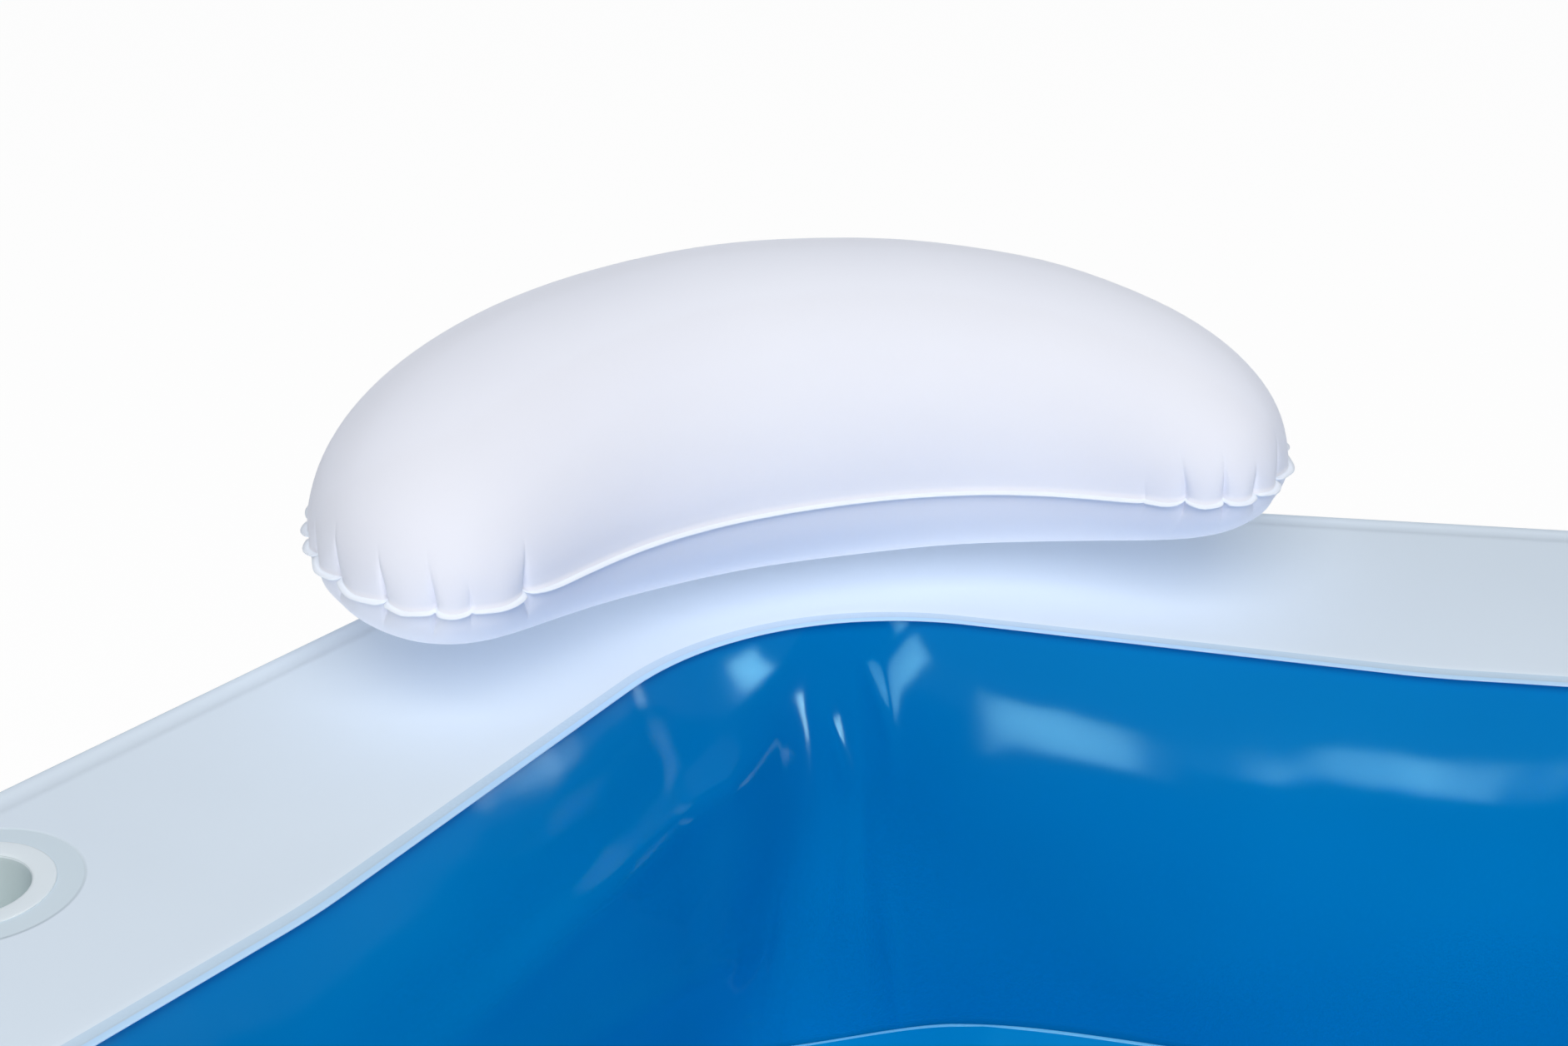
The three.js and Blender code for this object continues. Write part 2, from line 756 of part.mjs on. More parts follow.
// The valve sits on the back of the crown, on the flat between two rings at the middle
function headrestValveSeat() {
  const half = spineHalfLength / spineSteps;
  const spine = spineAt(half);
  const corner = (ring) => {
    const share = ringShares[ring];
    const y = spine.centre.y + spine.normal.y * spine.halfWidth * share;
    const z = spine.seam + gap / 2 + film + spine.crown * Math.sqrt(1 - share * share);
    return new THREE.Vector3(0, y, z);
  };
  const low = corner(valveRing + 1);
  const high = corner(valveRing);
  const slope = high.clone().sub(low);
  return {
    origin: low.clone().add(high).multiplyScalar(1 / 2),
    normal: new THREE.Vector3(0, slope.z, -slope.y).normalize(),
  };
}

function patch() {
  return new THREE.BoxGeometry(patchLength, patchWidth, patchThickness);
}

headrestCorners.forEach((corner, i) => {
  const name = `headrest_${i + 1}`;
  const toCorner = new THREE.Group();
  toCorner.rotation.z = (corner - 1) * sideAngle + sideAngle / 2 - Math.PI / 2;
  pool.add(toCorner);
  const headrest = new THREE.Group();
  headrest.position.set(headrestShiftWidth, cornerDistance - headrestSetbackLength - spineRadius, rimHeight);
  headrest.rotation.z = -headrestTurn;
  toCorner.add(headrest);
  const seat = headrestValveSeat();
  const frame = seatFrame(seat, up);
  const top = cutAway(headrestPanel(1), tubeCutter(headrestValve, frame));
  addPiece(headrest, `${name}_top_panel`, top, whiteVinyl);
  addPiece(headrest, `${name}_bottom_panel`, headrestPanel(-1), whiteVinyl);
  addValve(headrest, `${name}_valve`, headrestValve, frame);
  const loop = addPiece(headrest, `${name}_loop_patch`, patch(), patchCloth);
  loop.position.set(0, spineRadius, gap + patchThickness / 2);
  const hook = addPiece(headrest, `${name}_hook_patch`, patch(), patchCloth);
  hook.position.set(0, spineRadius, headrestLiftOff - gap - patchThickness / 2);
});

export default pool;
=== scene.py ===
# %% [markdown]
# # An inflatable family pool
# This lesson dresses a plain CAD model of a six-sided pool: a white air ring round a blue basin,
# cup holders in the rim, and an inflated headrest on each of two corners. The CAD model gives
# every size and every moving part. Blender gives the film its roundness, welds, folds and shine.
# The first two lines are always the same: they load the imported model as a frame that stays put.

# %% Load the frame
import math

import bpy
import numpy as np
from mathutils import Matrix, Vector


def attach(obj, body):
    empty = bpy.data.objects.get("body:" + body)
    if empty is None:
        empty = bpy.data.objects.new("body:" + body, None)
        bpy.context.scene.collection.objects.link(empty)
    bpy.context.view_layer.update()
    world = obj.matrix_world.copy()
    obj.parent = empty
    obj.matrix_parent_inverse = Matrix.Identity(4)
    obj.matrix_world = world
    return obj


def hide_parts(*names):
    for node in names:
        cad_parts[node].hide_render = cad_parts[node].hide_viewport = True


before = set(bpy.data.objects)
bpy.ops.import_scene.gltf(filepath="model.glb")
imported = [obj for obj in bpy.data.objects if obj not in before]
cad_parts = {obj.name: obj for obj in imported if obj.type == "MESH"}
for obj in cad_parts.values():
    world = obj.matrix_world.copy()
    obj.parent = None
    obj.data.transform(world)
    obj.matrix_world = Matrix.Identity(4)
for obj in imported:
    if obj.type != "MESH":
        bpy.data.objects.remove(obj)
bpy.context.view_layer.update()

# %% [markdown]
# ## Camera
# The photograph looks down into one corner. Straight edges of a regular hexagon and the round
# mouth of a cup holder are enough to work out where the camera stood and how long its lens was.
# A camera could also be moved by eye until the picture fits, but the worked-out one leaves the
# shapes as the only thing that can be wrong.

# %% Camera
photo_width = 1882
focal_pixels = 2958
camera_data = bpy.data.cameras.new("photo_camera")
camera_data.sensor_width = 36
camera_data.lens = focal_pixels / photo_width * camera_data.sensor_width
camera = bpy.data.objects.new("photo_camera", camera_data)
camera.location = (-0.664, -0.387, 1.367)
look_down = math.radians(24.65)
look_right = math.radians(22.08)
camera.rotation_euler = (math.pi / 2 - look_down, 0, -look_right)
bpy.context.scene.collection.objects.link(camera)
bpy.context.scene.camera = camera
print("lens:", round(camera_data.lens, 1), "mm")

# %% [markdown]
# ## Helpers for meshes
# Nearly every piece here is a sheet of film, so nearly every mesh is a grid of points. One helper
# makes the faces of a grid, one makes the object, and one gives the film its thickness.

# %% Mesh helpers
# The film's thickness, in metres
film = 0.0004


def grid_faces(rows, columns, looped=False):
    """The four-sided faces of a grid whose points are numbered row by row."""
    faces = []
    for row in range(rows if looped else rows - 1):
        after = (row + 1) % rows
        for column in range(columns - 1):
            faces.append((row * columns + column, after * columns + column,
                          after * columns + column + 1, row * columns + column + 1))
    return faces


def make_piece(name, points, faces, body, materials, numbers=None):
    """A smooth mesh object that rides on a CAD body. numbers picks a material for each face."""
    mesh = bpy.data.meshes.new(name)
    mesh.from_pydata([tuple(point) for point in points], [], faces)
    for material in materials:
        mesh.materials.append(material)
    if numbers is not None:
        mesh.polygons.foreach_set("material_index", numbers)
    mesh.polygons.foreach_set("use_smooth", [True] * len(mesh.polygons))
    mesh.update()
    piece = bpy.data.objects.new(name, mesh)
    bpy.context.scene.collection.objects.link(piece)
    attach(piece, body)
    return piece


def apply_modifiers(piece):
    """Bakes the modifiers into the mesh, so that the piece is plain geometry."""
    seen = piece.evaluated_get(bpy.context.evaluated_depsgraph_get())
    mesh = bpy.data.meshes.new_from_object(seen)
    piece.modifiers.clear()
    piece.data = mesh
    return piece


def thicken(piece, edges=True):
    """Gives a sheet the film's thickness, on the side away from its normals."""
    shell = piece.modifiers.new("film", "SOLIDIFY")
    shell.thickness = film
    shell.offset = -1
    shell.use_rim = edges
    return apply_modifiers(piece)


# %% [markdown]
# ## Vinyl
# All the film is soft vinyl. Under a lamp it shows three things: a colour that is never quite
# even, a gloss that is sharp on the blue film and soft on the white, and slow dents that bend
# every reflection. A Principled shader with two noises does it: one noise tints, one raises.
# Noise in object space stays put when the object is seen from another side.

# %% Colours as the eye reads them
def linear(red, green, blue):
    """A colour read as 0 to 255, in the linear light that shaders work in."""
    shares = [value / 255 for value in (red, green, blue)]
    light = [s / 12.92 if s <= 0.04045 else ((s + 0.055) / 1.055) ** 2.4 for s in shares]
    return (*light, 1)


# %% Vinyl helper
def vinyl(name, low, high, roughness, cloud=0.35, dent=0.02, dent_depth=0.0004,
          grain=0.0012, grain_depth=0.00002, specular=0.3, shine=(1, 1, 1, 1)):
    """Film whose tint drifts from low to high, with slow dents and a fine grain, in metres."""
    material = bpy.data.materials.new(name)
    material.use_nodes = True
    nodes, links = material.node_tree.nodes, material.node_tree.links
    shader = nodes["Principled BSDF"]
    shader.inputs["Specular IOR Level"].default_value = specular
    shader.inputs["Specular Tint"].default_value = shine
    place = nodes.new("ShaderNodeTexCoord")

    def noise_of(size, detail):
        noise = nodes.new("ShaderNodeTexNoise")
        noise.inputs["Scale"].default_value = 1 / size
        noise.inputs["Detail"].default_value = detail
        links.new(place.outputs["Object"], noise.inputs["Vector"])
        return noise.outputs["Fac"]

    tint = nodes.new("ShaderNodeValToRGB")
    tint.color_ramp.elements[0].position = 0.3
    tint.color_ramp.elements[1].position = 0.7
    tint.color_ramp.elements[0].color = low
    tint.color_ramp.elements[1].color = high
    links.new(noise_of(cloud, 2), tint.inputs["Fac"])
    links.new(tint.outputs["Color"], shader.inputs["Base Color"])

    gloss = nodes.new("ShaderNodeMapRange")
    gloss.inputs["To Min"].default_value = roughness * 0.85
    gloss.inputs["To Max"].default_value = roughness * 1.15
    links.new(noise_of(cloud / 3, 3), gloss.inputs["Value"])
    links.new(gloss.outputs["Result"], shader.inputs["Roughness"])

    slow = nodes.new("ShaderNodeBump")
    slow.inputs["Distance"].default_value = dent_depth
    links.new(noise_of(dent, 1), slow.inputs["Height"])
    fine = nodes.new("ShaderNodeBump")
    fine.inputs["Distance"].default_value = grain_depth
    links.new(noise_of(grain, 2), fine.inputs["Height"])
    links.new(slow.outputs["Normal"], fine.inputs["Normal"])
    links.new(fine.outputs["Normal"], shader.inputs["Normal"])
    return material


# %% The pool's vinyls
blue_vinyl = vinyl("blue_vinyl", linear(0, 110, 177), linear(0, 124, 192), 0.1,
                   cloud=0.5, dent=0.09, dent_depth=0.0016, specular=0.1, shine=(0.3, 0.85, 1, 1))
# The floor's blue is painted lighter than the walls' blue: painted light, for the extra light on a
# face turned up.
floor_blue_painted_lighter = vinyl("floor_blue_painted_lighter", linear(0, 125, 192), linear(0, 135, 202), 0.28,
                    cloud=0.5, dent=0.09, dent_depth=0.0016, specular=0.04, shine=(0.3, 0.85, 1, 1))
# A light blue film for the strip along the floor's lifted crest: a painted highlight.
crest_painted_highlight = vinyl("crest_painted_highlight", linear(95, 180, 230), linear(120, 196, 238), 0.3, specular=0.2)
rim_vinyl = vinyl("rim_vinyl", linear(209, 222, 236), linear(213, 226, 240), 0.42,
                  cloud=0.3, dent=0.16, dent_depth=0.001, specular=0)
weld_vinyl = vinyl("weld_vinyl", linear(180, 203, 224), linear(187, 208, 229), 0.5,
                   dent=0.004, dent_depth=0.0002)
lip_vinyl = vinyl("lip_vinyl", linear(172, 209, 243), linear(180, 215, 248), 0.35)
wall_vinyl = vinyl("wall_vinyl", linear(214, 223, 233), linear(222, 230, 239), 0.38,
                   cloud=0.4, dent=0.1, dent_depth=0.002)
headrest_vinyl = vinyl("headrest_vinyl", linear(223, 227, 240), linear(228, 232, 244), 0.45,
                       cloud=0.3, dent=0.09, dent_depth=0.0008, specular=0.1)
# A lighter copy of the headrest film for its weld flange: a painted highlight where the thin flange
# catches the light.
seam_painted_highlight = vinyl("seam_painted_highlight", linear(224, 232, 246), linear(230, 238, 250), 0.45)
print("vinyls:", len(bpy.data.materials))

# %% [markdown]
# ## The ring in plan
# Every sheet of the ring follows one of two outlines: the basin's edge, which swells into a soft
# bend before each corner, and the outer edge with its big round corners. Both are worked out for
# half a side, from a corner to the side's middle, and then mirrored and turned six times.
# Each station keeps its place, its normal and how far it is from the corner's middle line.

# %% Ring sizes, in metres
sharp_side = 1.582
outer_corner_radius = 0.45
rim_width = 0.295
inner_corner_radius = 0.242
full_width_half_length = 0.118
widen_angle = math.radians(6.5)
widen_fillet = 0.5
rim_height = 0.46
half_side = sharp_side / 2
apothem = half_side / math.tan(math.pi / 6)
corner_angle = math.pi / 3
widen_length = half_side - full_width_half_length


# %% Half outlines, as along, inward, normal along, normal inward, distance from the corner
def inner_half(arc_steps, straight_steps):
    """The basin's edge from a corner to the side's middle."""
    slope = math.tan(widen_angle)
    cos, sin = math.cos(corner_angle), math.sin(corner_angle)
    meet = (rim_width - widen_length * slope) / (sin - slope * cos)
    half_angle = corner_angle - widen_angle
    centre = meet + inner_corner_radius / math.sin(half_angle)
    sweep = math.pi / 2 - half_angle
    turn = np.linspace(0, sweep, arc_steps + 1)
    depth = centre - inner_corner_radius * np.cos(turn)
    across = inner_corner_radius * np.sin(turn)
    arc = np.stack([depth * cos + across * sin, depth * sin - across * cos,
                    np.cos(turn + corner_angle), np.sin(turn + corner_angle),
                    inner_corner_radius * turn], 1)
    reach = widen_fillet * math.tan(widen_angle / 2)
    bend_start = widen_length - reach * math.cos(widen_angle)
    along = np.linspace(arc[-1, 0], bend_start, straight_steps + 1)[1:-1]
    ones = np.ones_like(along)
    straight = np.stack([along, rim_width - (widen_length - along) * slope,
                         -math.sin(widen_angle) * ones, math.cos(widen_angle) * ones,
                         arc[-1, 4] + (along - arc[-1, 0]) / math.cos(widen_angle)], 1)
    bend_from = arc[-1, 4] + (bend_start - arc[-1, 0]) / math.cos(widen_angle)
    turn = widen_angle * (1 - np.linspace(0, 1, 7))
    bend = np.stack([widen_length + reach - widen_fillet * np.sin(turn),
                     rim_width - widen_fillet * (1 - np.cos(turn)), -np.sin(turn), np.cos(turn),
                     bend_from + widen_fillet * (widen_angle - turn)], 1)
    along = np.linspace(bend[-1, 0], half_side, 7)[1:]
    ones = np.ones_like(along)
    middle = np.stack([along, rim_width * ones, 0 * ones, ones,
                       bend[-1, 4] + along - bend[-1, 0]], 1)
    return np.vstack([arc, straight, bend, middle])


def outer_half(arc_steps, straight_steps):
    """The ring's outer edge from a corner to the side's middle."""
    centre = outer_corner_radius / math.tan(corner_angle)
    turn = math.pi / 6 * (1 - np.linspace(0, 1, arc_steps + 1))
    arc = np.stack([centre - outer_corner_radius * np.sin(turn),
                    outer_corner_radius * (1 - np.cos(turn)), -np.sin(turn), -np.cos(turn),
                    outer_corner_radius * (math.pi / 6 - turn)], 1)
    along = np.linspace(arc[-1, 0], half_side, straight_steps + 1)[1:]
    ones = np.ones_like(along)
    straight = np.stack([along, 0 * ones, 0 * ones, -ones, arc[-1, 4] + along - arc[-1, 0]], 1)
    return np.vstack([arc, straight])


# %% Whole sides
def whole_side(half):
    """Stations from corner to corner: side place, out, side normal, out normal, from corner."""
    side = np.stack([half_side - half[:, 0], apothem - half[:, 1],
                     -half[:, 2], -half[:, 3], half[:, 4]], 1)
    back = side[-2::-1] * np.array([-1, 1, -1, 1, 1])
    return np.vstack([side, back])


def on_side(side, stations, away, height):
    """Points of one side of the ring, away metres off its outline along the normal."""
    angle = (side - 1) * math.pi / 3
    out = np.array([math.cos(angle), math.sin(angle)])
    along = np.array([-out[1], out[0]])
    place = stations[:, 0] + stations[:, 2] * away
    reach = stations[:, 1] + stations[:, 3] * away
    plan = place[..., None] * along + reach[..., None] * out
    height = np.broadcast_to(height, plan.shape[:-1])
    return np.concatenate([plan, height[..., None]], -1)


inner_side = whole_side(inner_half(48, 16))
outer_side = whole_side(outer_half(40, 24))
print("stations to a side:", len(inner_side), "inside,", len(outer_side), "outside")

# %% [markdown]
# ## Walls
# Air pushes each wall out into a shallow arc between its two welds. At a corner the two arcs meet
# and the film, which can't stretch, gathers into upright folds that start as a point under the
# rim and spread downwards. A cloth simulation could find such folds, but it would find others
# each time a size changes, so they are added as shapes: a pinch, a few ridges and slow waves.


# %% Slow waves
def waves(across, down, seed, count, size):
    """A smooth random surface from -1 to 1, made of a few sine waves about size long."""
    random = np.random.default_rng(seed)
    total = np.zeros(np.broadcast(across, down).shape)
    for _ in range(count):
        heading = random.uniform(0, math.pi)
        length = size * random.uniform(0.7, 1.6)
        phase = random.uniform(0, 2 * math.pi)
        run = across * math.cos(heading) + down * math.sin(heading)
        total += np.sin(2 * math.pi * run / length + phase)
    return total / count


# %% Wall shapes
lip = 0.008
wall_top = rim_height - 0.0013
wall_bottom = 2 * film + 0.0003
wall_span = wall_top - wall_bottom
down_steps = 64
down_share = (1 - np.cos(np.linspace(0, math.pi, down_steps + 1))) / 2
down_share = 0.5 * down_share + 0.5 * np.linspace(0, 1, down_steps + 1)
wall_height = wall_top - wall_span * down_share
inner_bulge, outer_bulge = 0.05, 0.0323
pinch_share = 0.7
# How far a wall's edges run on between the sheets that they are welded to
inner_turn_in, outer_turn_in, foot_turn_out = 0.012, 0.016, 0.015


def bulge_at(share):
    """How far the air pushes a wall out, from 0 at the welds to 1 between them."""
    return 1 - np.abs(2 * share - 1) ** 2.3


def inner_away(place, height):
    """How far the inner wall stands off the rim's edge. place runs across the corner line."""
    rise = height / wall_top
    centre = 0.063 * rise ** 1.2
    length = 0.09 - 0.03 * rise
    pinch = 1 - pinch_share * np.exp(-((place - centre) / length) ** 2)
    return -lip + inner_bulge * pinch * bulge_at((wall_top - height) / wall_span)


def ridge(gap, width):
    """A narrow fold with a rounded crest: 1 on its line and 0 a few widths away."""
    return np.exp(1 - np.sqrt(1 + (gap / width) ** 2))


def line_through(drop, *marks):
    """The place of a fold's line at each depth under the rim, through (depth, place) marks."""
    depth, place = np.array(marks).T
    return np.interp(drop, depth, place)


# %% [markdown]
# The folds of the inner corner are drawn from the photograph. The film is gathered at a point 30 mm
# under the rim and 60 mm beside the corner's line. From there a valley runs down to the floor, a
# thin ridge curves off to the right, and a short thick ridge stands by itself on the left. Two long
# soft drags run down the left wall. The other corners get the same kinds of folds, moved about.

# %% Folds of the inner corners
def corner_folds(place, drop, corner):
    """Folds at one corner, in metres. place runs across the corner line, drop runs down."""
    random = np.random.default_rng(40 + corner)
    seen = corner == 2
    shift = 0 if seen else random.uniform(-0.09, 0.03)
    place = place - shift
    down = np.clip((drop - 0.022) / 0.02, 0, 1)
    valley = line_through(drop, (0.0, 0.062), (0.03, 0.063), (0.2, 0.068), (0.458, 0.082))
    folds = -0.0050 * ridge(place - valley, 0.006) * down * np.exp(-drop / 0.22)
    curl = line_through(drop, (0.03, 0.066), (0.06, 0.078), (0.095, 0.09), (0.15, 0.095),
                        (0.3, 0.1))
    folds += 0.0042 * ridge(place - curl, 0.005) * down * np.exp(-((drop - 0.06) / 0.06) ** 2)
    thick = line_through(drop, (0.05, 0.031), (0.075, 0.037), (0.13, 0.051), (0.2, 0.06))
    thick_reach = np.exp(-((drop - 0.105) / 0.042) ** 4)
    folds += 0.0065 * ridge(place - thick, 0.0065) * thick_reach
    bead = line_through(drop, (0.0, 0.05), (0.12, 0.058), (0.3, 0.055), (0.458, 0.07))
    folds += 0.0018 * ridge(place - bead, 0.004) * np.exp(-((drop - 0.22) / 0.1) ** 2)
    for _ in range(9):
        line = random.uniform(-0.03, 0.13) + 0.012 * np.sin(drop * 14 + random.uniform(0, 6))
        depth, middle = random.uniform(-0.0018, 0.0018), random.uniform(0.2, 0.36)
        folds += depth * ridge(place - line, 0.0035) * np.exp(-((drop - middle) / 0.09) ** 2)
    for start, end, high in ((0.10, 0.135, 0.007), (0.29, 0.20, 0.006)):
        level = np.interp(-place, [0.0, 0.42], [start, end])
        along = np.clip((-place - 0.01) / 0.06, 0, 1) * np.clip((0.62 + place) / 0.3, 0, 1)
        folds += high * np.exp(-((drop - level) / 0.022) ** 2) * along
    return folds


# %% Inner wall panels
def inner_wall(side):
    """One blue panel, from the middle of one corner to the middle of the next."""
    stations = inner_side
    from_corner = stations[:, 4][:, None]
    drop = down_share[None, :] * wall_span
    length = 2 * stations[:, 4].max()
    first = (np.arange(len(stations)) <= len(stations) // 2)[:, None]
    run = np.where(first, from_corner, length - from_corner)
    away = inner_away(np.where(first, from_corner, -from_corner), wall_height[None, :])
    fade = np.sin(math.pi * down_share)[None, :] ** 0.5
    away = away + fade * corner_folds(run, drop, side)
    away += fade * corner_folds(run - length, drop, (side - 2) % 6 + 1)
    calm = 1 - np.exp(-(from_corner / 0.08) ** 2)
    away += 0.0028 * calm * fade * waves(stations[:, 0][:, None], drop * 1.7, side, 6, 0.24)
    points = [on_side(side, stations, -lip - inner_turn_in, wall_top)]
    for column, height in enumerate(wall_height):
        points.append(on_side(side, stations, away[:, column], height))
    points.append(on_side(side, stations, -lip + foot_turn_out, wall_bottom))
    points = np.stack(points, 1)
    rows, columns = points.shape[:2]
    piece = make_piece(f"basin_wall_{side}", points.reshape(-1, 3), grid_faces(rows, columns),
                       "pool", [blue_vinyl])
    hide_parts(f"inner_wall_panel_{side}")
    return thicken(piece, edges=False)


basin_walls = [inner_wall(side) for side in range(1, 7)]
print("basin walls:", len(basin_walls), "faces each:", len(basin_walls[0].data.polygons))


# %% Outer wall panels
def puckers(place, seed):
    """Short pleats that start at a weld and fade within a few centimetres."""
    random = np.random.default_rng(seed)
    total = np.zeros((len(place), len(down_share)))
    near_top = np.exp(-down_share * wall_span / 0.035)[None, :]
    near_foot = np.exp(-(1 - down_share) * wall_span / 0.035)[None, :]
    for line in np.arange(place.min(), place.max(), 0.03):
        spot = line + random.uniform(-0.01, 0.01)
        depth = random.uniform(0.0006, 0.0022)
        total -= depth * ridge(place[:, None] - spot, 0.006) \
            * (near_top if random.random() < 0.6 else near_foot)
    return total


def outer_wall(side):
    """One white panel outside, from the middle of one corner to the middle of the next."""
    stations = outer_side
    drop = down_share[None, :] * wall_span
    near_corner = np.exp(-(stations[:, 4] / 0.24) ** 2)[:, None]
    away = -lip + outer_bulge * bulge_at(down_share)[None, :]
    away = away + (0.3 + 0.7 * near_corner) * puckers(stations[:, 0], 70 + side)
    fade = np.sin(math.pi * down_share)[None, :]
    away += 0.0022 * fade * waves(stations[:, 0][:, None], drop * 1.5, 20 + side, 5, 0.28)
    points = [on_side(side, stations, -lip - outer_turn_in, wall_top)]
    for column, height in enumerate(wall_height):
        points.append(on_side(side, stations, away[:, column], height))
    points.append(on_side(side, stations, 0.0, wall_bottom))
    points = np.stack(points, 1)[::-1]
    rows, columns = points.shape[:2]
    piece = make_piece(f"outer_wall_{side}", points.reshape(-1, 3), grid_faces(rows, columns),
                       "pool", [wall_vinyl])
    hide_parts(f"outer_wall_panel_{side}")
    return thicken(piece, edges=False)


outer_walls = [outer_wall(side) for side in range(1, 7)]
print("outer walls:", len(outer_walls), "faces each:", len(outer_walls[0].data.polygons))

# %% [markdown]
# ## Rim
# The rim is one flat white sheet, welded to both walls. Along the basin the photograph shows a
# greyish band, where the hot bar pressed the two films together, and outside it a bright loose
# lip. So the sheet's faces are cut in strips at those widths, the weld is pressed in by half a
# millimetre, and each strip gets its own film. The cup holders' holes are cut with a Boolean.

# %% Rim strips
cup_place = apothem - 0.089
cup_hole_radius = 0.0385
cup_sides = ((1, 3), (2, 6))
strip_from_inside = [0, 0.0012, 0.0062, 0.0074, 0.009, 0.0152, 0.0164, 0.022, 0.034]
strip_height = [-0.0004, -0.0001, -0.0001, -0.0006, -0.0008, -0.0008, -0.0004, 0, 0]
strip_from_outside = [0.03, 0.024, 0.0225, 0.0095, 0.008, 0.001, 0]
outside_height = [0, 0, -0.0006, -0.0006, -0.0001, -0.0001, -0.0004]


def even_stations(half, count):
    """Stations spread evenly from a corner to the side's middle."""
    share = half[:, 4] / half[-1, 4]
    wanted = np.linspace(0, 1, count)
    return np.stack([np.interp(wanted, share, column) for column in half.T], 1)


def rim_side(side, count=56):
    """The rim's points over one side, strip by strip from the basin to the outer edge."""
    inner = whole_side(even_stations(inner_half(48, 16), count))
    outer = whole_side(even_stations(outer_half(40, 24), count))
    basin_edge = on_side(side, inner, 0, rim_height)
    outer_edge = on_side(side, outer, 0, rim_height)
    span = np.linalg.norm(outer_edge - basin_edge, axis=1)
    ahead = (outer_edge - basin_edge) / span[:, None]
    middle = np.linspace(0, 1, 14)[1:-1]
    columns = [basin_edge + ahead * far + np.array([0, 0, rise])
               for far, rise in zip(strip_from_inside, strip_height)]
    last, first = strip_from_inside[-1], strip_from_outside[0]
    for share in middle:
        far = last + (span - last - first) * share
        columns.append(basin_edge + ahead * far[:, None])
    columns += [outer_edge - ahead * far + np.array([0, 0, rise])
                for far, rise in zip(strip_from_outside, outside_height)]
    return np.stack(columns, 1)


points = np.concatenate([rim_side(side)[::-1][:-1] for side in range(1, 7)])
rows, columns = points.shape[:2]
strip_films = [2, 2, 1, 1, 1, 1] + [0] * (columns - 8) + [1]
rim = make_piece("rim_sheet", points.reshape(-1, 3), grid_faces(rows, columns, looped=True),
                 "pool", [rim_vinyl, weld_vinyl, lip_vinyl], strip_films * rows)
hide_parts("rim_top_panel")
if rim.data.polygons[rows // 2 * (columns - 1)].normal.z < 0:
    rim.data.flip_normals()
thicken(rim)
print("rim:", rows, "by", columns)

# %% Cup holes in the rim
for number, side in cup_sides:
    angle = (side - 1) * math.pi / 3
    bpy.ops.mesh.primitive_cylinder_add(vertices=64, radius=cup_hole_radius, depth=0.02)
    punch = bpy.context.object
    punch.location = (cup_place * math.cos(angle), cup_place * math.sin(angle), rim_height)
    bpy.context.view_layer.update()
    cut = rim.modifiers.new("cup_hole", "BOOLEAN")
    cut.object = punch
    cut.solver = "EXACT"
    apply_modifiers(rim)
    bpy.data.objects.remove(punch)
print("rim with holes:", len(rim.data.polygons), "faces")

# %% [markdown]
# ## Basin floor
# The floor is one blue sheet that lies on the ground under the whole ring. Nothing pulls it flat,
# so it keeps soft creases. An inflated ring is rounder than its welds, so it lifts the floor's edge
# off the ground: the sheet hangs from there in a slack curve, and the lifted edge is the thin
# bright line in the photograph. That line is a painted highlight: a strip of lighter blue film
# along the crest. Its height is measured from that line: low in the corner, where the wall is
# pinched, and higher along the sides.

# %% Floor profile
def crest_height(place):
    """How high the floor's edge is lifted. place runs across the corner line."""
    return 0.101 - 0.051 * np.exp(-((place - 0.02) / 0.12) ** 2)


hang_length = 0.17
# Distances from the crest into the basin. Further in, rows that keep to the corner's tight curve
# would cross each other, so from there on the rows shrink towards the middle instead.
before_crest = np.array([0.172, 0.15, 0.13, 0.11, 0.092, 0.076, 0.061, 0.048, 0.036, 0.026,
                         0.017, 0.010, 0.0045, 0.0016, 0.0])
back_shares = np.array([0.96, 0.75, 0.5, 0.25])


# %% Floor sheet
def floor_side(side, count=120):
    """The floor's points under one side, from the slope in the basin to the ring's outer edge."""
    share = np.linspace(0, 1, count) ** 1.5
    inner_line, outer_line = inner_half(48, 16), outer_half(40, 24)
    inner = whole_side(np.stack([np.interp(share * inner_line[-1, 4], inner_line[:, 4], column)
                                 for column in inner_line.T], 1))
    outer = whole_side(np.stack([np.interp(share * outer_line[-1, 4], outer_line[:, 4], column)
                                 for column in outer_line.T], 1))
    first = np.arange(len(inner)) < len(inner) // 2
    place = np.where(first, inner[:, 4], -inner[:, 4])
    high = crest_height(place)
    crest = inner_away(place, high) + 0.004
    columns = []
    for far in before_crest:
        height = film + high * np.clip(1 - far / hang_length, 0, 1) ** 2.2
        tuck = 0.004 * ridge(place - 0.187, 0.010) * min(far / 0.006, 1) * math.exp(-far / 0.05)
        columns.append(on_side(side, inner, crest + far, height + tuck))
    # Behind the crest the sheet drops to the ground, close under the wall, and runs outwards.
    for part in back_shares:
        columns.append(on_side(side, inner, inner_away(place, high * part) + 0.0015,
                               film + high * part))
    foot = on_side(side, inner, -lip, film)
    edge = on_side(side, outer, -0.0005, film)
    columns += [foot + (edge - foot) * step for step in (0, 0.33, 0.66, 1)]
    return np.stack(columns, 1)


# %% Middle of the floor, and its soft creases
drain_place = (-0.7794, -0.45)
drain_flange_radius = 0.035
creased_slope_columns = 3
ring_points = np.concatenate([floor_side(side)[::-1][:-1] for side in range(1, 7)])
hub_steps = np.linspace(0, 1, 40)[1:-1] ** 0.8
inside = hub_steps[None, :, None] * ring_points[:, :1] * np.array([1, 1, 0])
points = np.concatenate([inside + [0, 0, film], ring_points], 1)
from_slope = len(hub_steps) + creased_slope_columns
wrinkles = 0.0032 * (1 - np.abs(waves(points[..., 0], points[..., 1], 5, 7, 0.42))) ** 3
wrinkles += 0.0016 * waves(points[..., 0], points[..., 1], 11, 6, 0.13) ** 2
